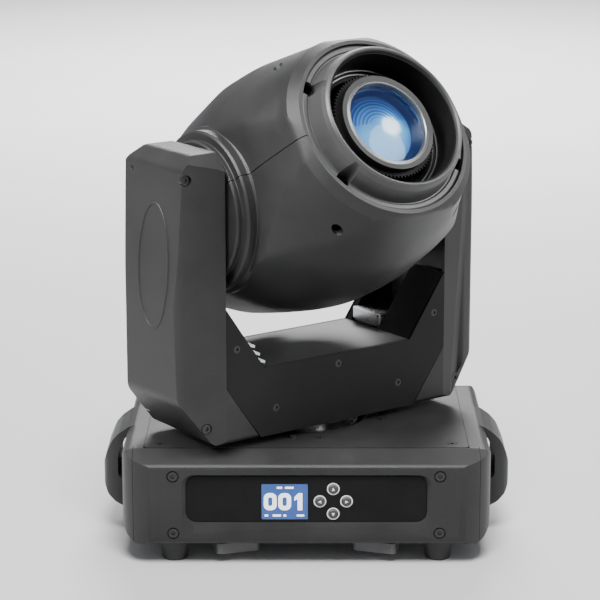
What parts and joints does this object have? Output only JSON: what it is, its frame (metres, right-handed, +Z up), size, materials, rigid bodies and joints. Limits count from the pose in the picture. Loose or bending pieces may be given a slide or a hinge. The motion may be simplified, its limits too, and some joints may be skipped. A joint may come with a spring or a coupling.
{
  "type": "moving head light",
  "caption": "Stage spot light: a lens head tilts between the two arms of a yoke, which pans on a low base with side handles, a display and menu buttons.",
  "frame": {"origin": "on the pan axis at floor level, under the middle of the base", "axes": "+Z up along the pan axis, +X to the right along the base's front, display facing -Y"},
  "size_m": [0.316, 0.2595, 0.3877],
  "materials": {
    "black_moulding": "fine textured black moulding",
    "glossy_floor": "glossy black",
    "black_steel": "black powder coat",
    "plated_steel": "zinc plated",
    "aluminium": "plain",
    "black_screws": "black oxide",
    "rubber": "matte black",
    "board": "solder mask",
    "sockets": "moulded",
    "dark_metal": "nickel grey",
    "led": "copper core board",
    "lens": "blue coated glass",
    "filters": "dichroic",
    "buttons": "pale grey",
    "screen": "backlit display"
  },
  "bodies": {
    "base": {"base_plate": "black_steel", "front_cover": "black_moulding", "rear_cover": "black_moulding", "left_side_cap": "black_moulding", "right_side_cap": "black_moulding", "top_cover": "black_moulding", "control_panel": "glossy_floor", "display": "screen", "control_board": "board", "feet": "rubber", "bracket_sockets": "plated_steel", "safety_eye": "plated_steel", "power_supply": "plated_steel", "main_board": "board", "power_sockets": "sockets", "data_sockets": "dark_metal", "fuse_holder": "black_moulding", "pan_bridge": "plated_steel", "pan_hub": "plated_steel", "pan_bearing": "plated_steel", "pan_pulley": "aluminium", "base_screws": "black_screws"},
    "yoke": {"yoke_frame": "black_steel", "yoke_front_plate": "black_moulding", "yoke_rear_plate": "black_moulding", "yoke_floor": "glossy_floor", "left_arm_cover": "black_moulding", "right_arm_cover": "black_moulding", "left_arm_panel": "black_moulding", "right_arm_panel": "black_moulding", "pan_motor": "plated_steel", "pan_belt": "rubber", "tilt_motor": "plated_steel", "tilt_belt": "rubber", "tilt_bearings": "plated_steel", "yoke_screws": "black_screws"},
    "head": {"head_upper_shell": "black_moulding", "head_lower_shell": "black_moulding", "front_bezel": "black_moulding", "rear_grille": "black_moulding", "head_chassis": "black_steel", "trunnions": "plated_steel", "tilt_pulley": "aluminium", "lens_barrel": "black_steel", "focus_ring": "black_steel", "led_engine": "led", "heat_sink": "aluminium", "head_fan": "black_moulding", "head_screws": "black_screws", "front_lens": "lens"},
    "pan_pinion": {"pan_motor_pulley": "aluminium"},
    "tilt_pinion": {"tilt_motor_pulley": "aluminium"},
    "fan": {"fan_rotor": "black_moulding"},
    "colours": {"colour_wheel": "filters"},
    "gobos": {"gobo_wheel": "aluminium"},
    "focus": {"focus_carriage": "lens"},
    "up": {"up_button": "buttons"},
    "down": {"down_button": "buttons"},
    "left": {"left_button": "buttons"},
    "right": {"right_button": "buttons"}
  },
  "joints": [
    {"name": "pan", "type": "hinge", "parent": "base", "child": "yoke", "pos_m": [0, 0, 0], "axis": [0, 0, 1], "range_deg": [-306.2, 233.8]},
    {"name": "tilt", "type": "hinge", "parent": "yoke", "child": "head", "pos_m": [0, 0, 0.261], "axis": [-0.807, -0.5906, 0], "range_deg": [-65.5, 174.5]},
    {"name": "pan_motor_turn", "type": "hinge", "parent": "yoke", "child": "pan_pinion", "pos_m": [0.06127, 0.06529, 0.112], "axis": [0, 0, 1], "range_deg": [-1175, 1537]},
    {"name": "tilt_motor_turn", "type": "hinge", "parent": "yoke", "child": "tilt_pinion", "pos_m": [-0.09603, -0.07028, 0.15], "axis": [-0.807, -0.5906, 0], "range_deg": [-400, 1055]},
    {"name": "fan_spin", "type": "hinge", "parent": "head", "child": "fan", "pos_m": [-0.04087, 0.05584, 0.21164], "axis": [0.4808, -0.657, 0.5807], "continuous": true},
    {"name": "colour_wheel_turn", "type": "hinge", "parent": "head", "child": "colours", "pos_m": [0.01206, 0.02754, 0.28217], "axis": [0.4808, -0.657, 0.5807], "continuous": true},
    {"name": "gobo_wheel_turn", "type": "hinge", "parent": "head", "child": "gobos", "pos_m": [0.01879, 0.01834, 0.2903], "axis": [0.4808, -0.657, 0.5807], "continuous": true},
    {"name": "focus_travel", "type": "slide", "parent": "head", "child": "focus", "axis": [0.4808, -0.657, 0.5807], "range_m": [-0.014, 0.04]},
    {"name": "up_press", "type": "slide", "parent": "base", "child": "up", "axis": [0, 1, 0], "range_m": [0, 0.0006], "stiffness_N_per_m": 300},
    {"name": "down_press", "type": "slide", "parent": "base", "child": "down", "axis": [0, 1, 0], "range_m": [0, 0.0006], "stiffness_N_per_m": 300},
    {"name": "left_press", "type": "slide", "parent": "base", "child": "left", "axis": [0, 1, 0], "range_m": [0, 0.0006], "stiffness_N_per_m": 300},
    {"name": "right_press", "type": "slide", "parent": "base", "child": "right", "axis": [0, 1, 0], "range_m": [0, 0.0006], "stiffness_N_per_m": 300}
  ],
  "couplings": [
    {"joint": "pan_motor_turn", "follows": "pan", "ratio": -5},
    {"joint": "tilt_motor_turn", "follows": "tilt", "ratio": 6}
  ]
}
